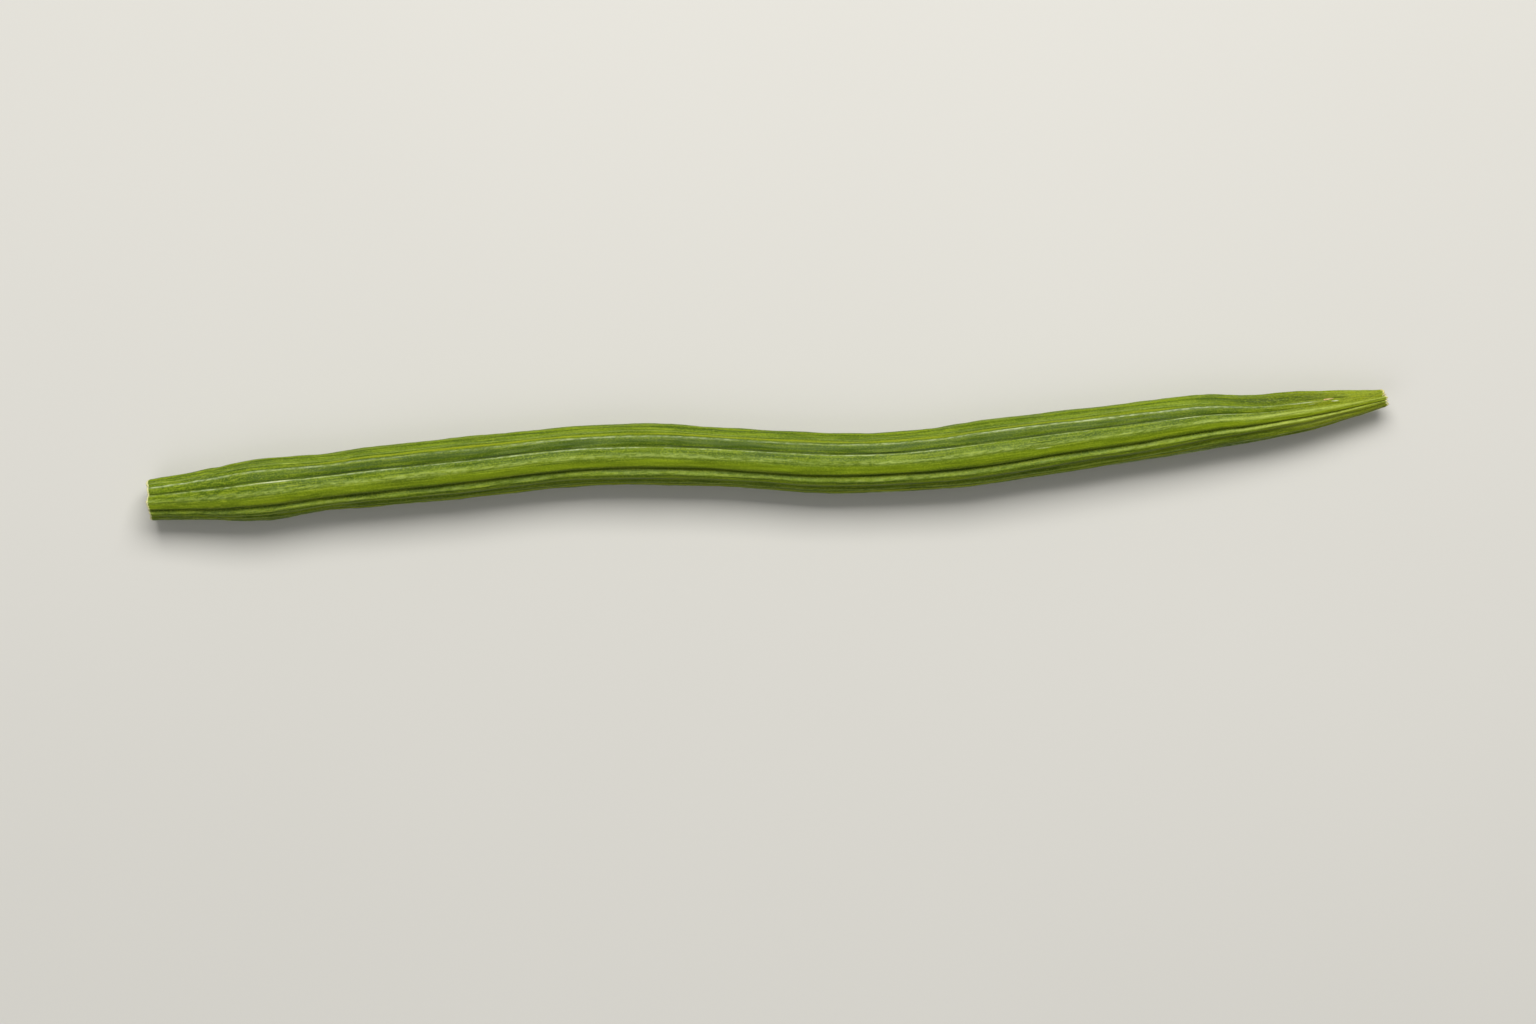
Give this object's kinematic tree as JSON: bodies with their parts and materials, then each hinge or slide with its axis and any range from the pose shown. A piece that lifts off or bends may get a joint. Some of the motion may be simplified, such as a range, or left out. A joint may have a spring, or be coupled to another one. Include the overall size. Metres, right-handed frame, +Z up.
{
  "type": "moringa pod",
  "caption": "Fresh green moringa pod, long, slim and gently S-bent, with rounded lengthwise ribs, a broad cut end and a narrow tapered neck that is cut too.",
  "frame": {"origin": "under the middle of the pod, on the surface that it lies on", "axes": "+X along the pod from its broad cut end to its narrow cut neck, +Y sideways, +Z up"},
  "size_m": [0.2738, 0.0202, 0.0136],
  "materials": {
    "pod_skin": "satin fresh green skin"
  },
  "bodies": {
    "root": {"moringa_pod": "pod_skin"}
  },
  "joints": []
}
